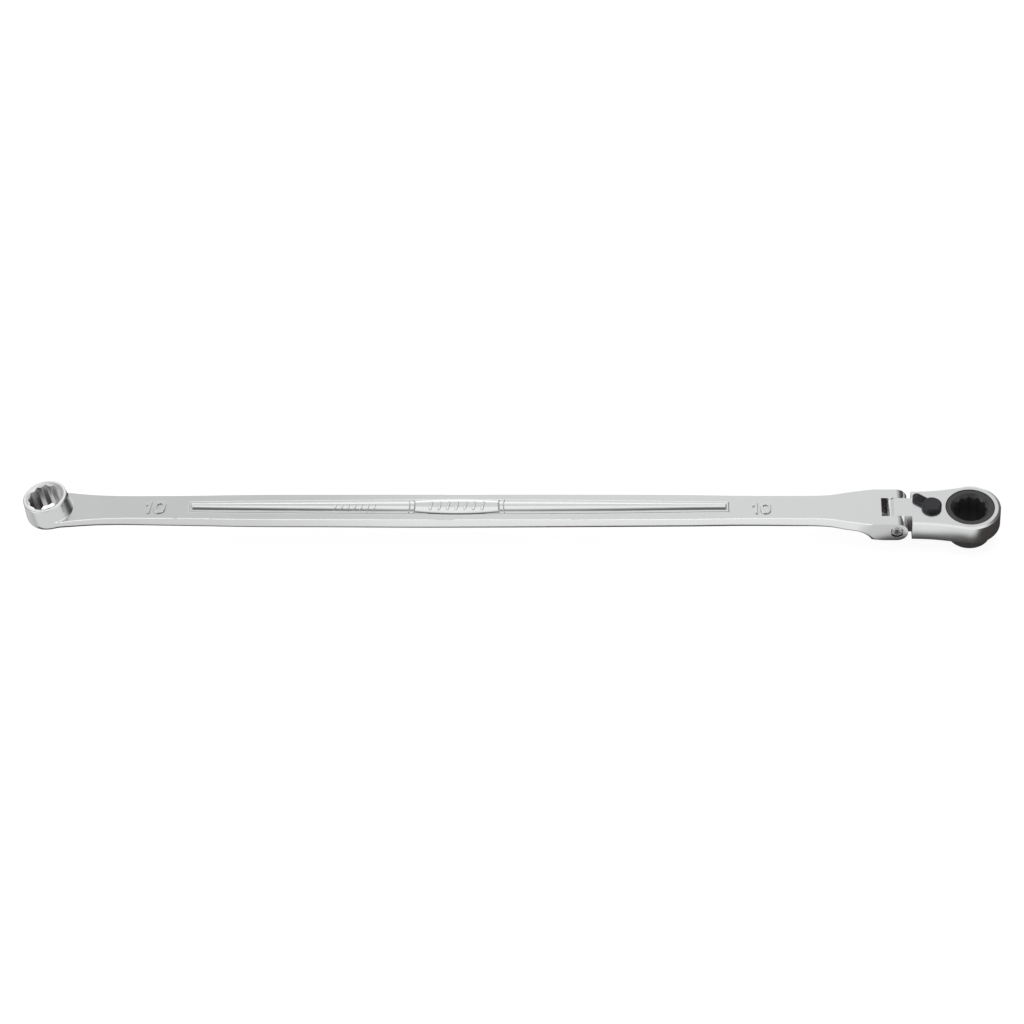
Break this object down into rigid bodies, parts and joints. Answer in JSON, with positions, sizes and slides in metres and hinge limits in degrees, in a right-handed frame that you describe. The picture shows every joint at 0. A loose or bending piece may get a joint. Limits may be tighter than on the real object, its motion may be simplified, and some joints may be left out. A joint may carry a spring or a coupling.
{
  "type": "ratchet wrench",
  "caption": "Extra-long slim double-ended wrench: fixed offset twelve-point ring at one end, flex-head reversible ratchet ring with thumb lever at the other.",
  "frame": {"origin": "on the ratchet gear's axis, half way through the thickness of the ratchet head", "axes": "+X along the wrench from the fixed ring to the ratchet, +Z along the ratchet gear's axis towards the lever side, +Y across"},
  "size_m": [0.3259, 0.0206, 0.0193],
  "materials": {
    "satin_chrome": "satin chrome plate on forged steel",
    "black_steel": "satin black oxide",
    "lever_black": "satin black, lightly moulded grain",
    "screw_steel": "bright turned steel",
    "hardened_steel": "dark hardened steel",
    "spring_steel": "spring wire",
    "seal_rubber": "matt black rubber"
  },
  "bodies": {
    "handle": {"handle": "satin_chrome", "pivot_screw": "screw_steel", "hinge_spring": "spring_steel"},
    "friction_plunger": {"hinge_plunger": "hardened_steel"},
    "head": {"head_housing": "satin_chrome", "lever_clip": "spring_steel"},
    "gear": {"ratchet_gear": "black_steel", "gear_retaining_ring": "spring_steel"},
    "lever": {"reversing_lever": "lever_black", "lever_seal": "seal_rubber", "pawl_spring": "spring_steel"},
    "plunger": {"pawl_plunger": "hardened_steel"},
    "pawl": {"pawl": "hardened_steel"}
  },
  "joints": [
    {"name": "head_flex", "type": "hinge", "parent": "handle", "child": "head", "pos_m": [-0.0245, 0, 0], "axis": [0, 1, 0], "range_deg": [-90, 90]},
    {"name": "friction_plunger_travel", "type": "slide", "parent": "handle", "child": "friction_plunger", "axis": [1, 0, 0], "range_m": [-0.0006, 0], "stiffness_N_per_m": 900, "springref_m": 0.003, "deforming": ["hinge_spring"]},
    {"name": "gear_spin", "type": "hinge", "parent": "head", "child": "gear", "pos_m": [0, 0, 0], "axis": [0, 0, 1], "continuous": true},
    {"name": "lever_swing", "type": "hinge", "parent": "head", "child": "lever", "pos_m": [-0.01285, 0, 0], "axis": [0, 0, 1], "range_deg": [0, 74]},
    {"name": "plunger_travel", "type": "slide", "parent": "lever", "child": "plunger", "axis": [0.7986, -0.6018, 0], "range_m": [-0.0006, 0], "stiffness_N_per_m": 600, "springref_m": 0.002, "deforming": ["pawl_spring"]},
    {"name": "pawl_rock", "type": "hinge", "parent": "head", "child": "pawl", "pos_m": [-0.0086, 0, 0], "axis": [0, 0, 1], "range_deg": [-10.05, 0]}
  ],
  "couplings": [
    {"joint": "pawl_rock", "follows": "lever_swing", "ratio": -0.13514}
  ]
}
